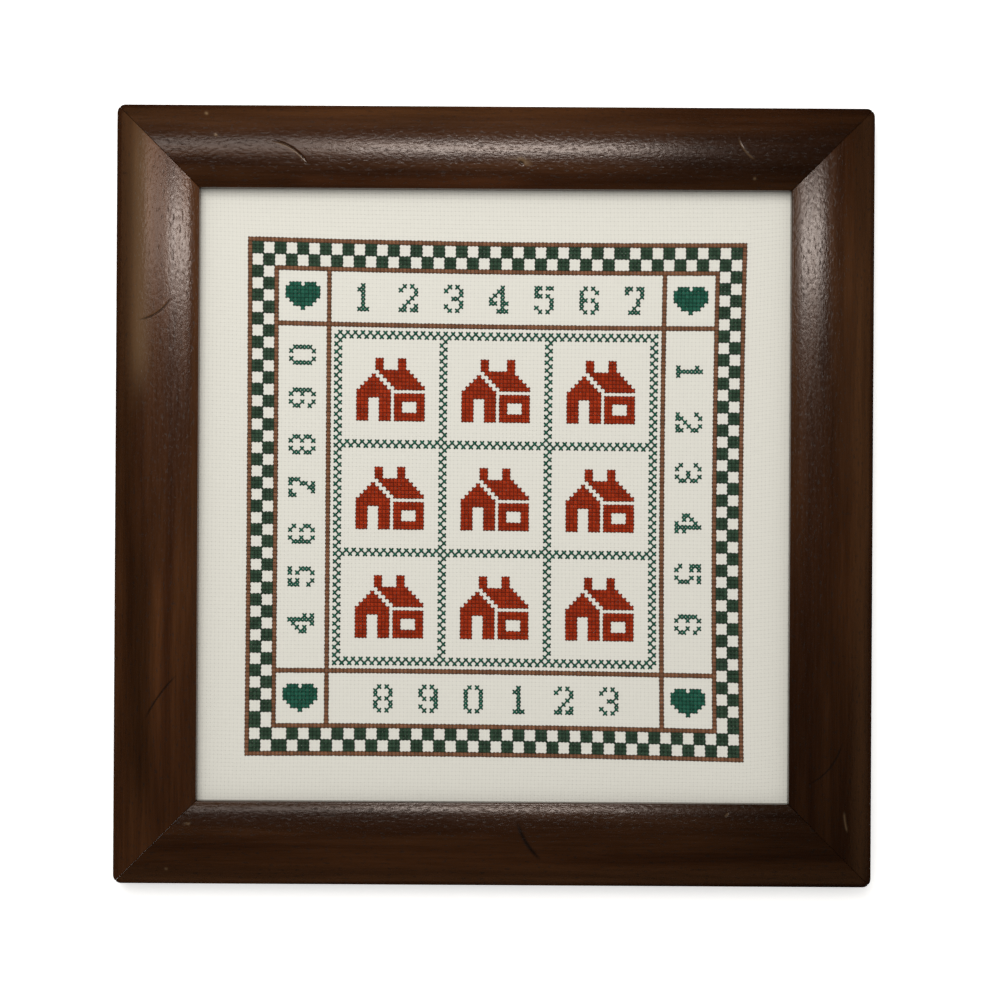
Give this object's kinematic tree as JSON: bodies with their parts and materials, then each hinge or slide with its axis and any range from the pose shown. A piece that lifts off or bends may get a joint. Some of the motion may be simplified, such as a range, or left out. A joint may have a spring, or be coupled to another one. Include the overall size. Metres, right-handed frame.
{
  "type": "framed cross stitch sampler",
  "caption": "Cross stitch sampler on aida cloth with a check border, numerals, hearts and house motifs, stretched in a mitred dark wood picture frame.",
  "frame": {"origin": "middle of the frame's back, on the surface that it lies on", "axes": "+Z out of the picture, +Y towards the picture's top edge, +X towards its right edge"},
  "size_m": [0.36, 0.37, 0.019],
  "materials": {
    "walnut_moulding": "dark walnut stain under a satin varnish",
    "aida_cloth": "cream cotton aida, woven in square blocks",
    "backing_board": "plain pressed board",
    "rust_floss": "stranded cotton, slight sheen",
    "green_floss": "stranded cotton, slight sheen",
    "brick_floss": "stranded cotton, slight sheen"
  },
  "bodies": {
    "root": {"rail_top": "walnut_moulding", "rail_bottom": "walnut_moulding", "stile_left": "walnut_moulding", "stile_right": "walnut_moulding", "cloth": "aida_cloth", "backing_board": "backing_board"}
  },
  "joints": []
}
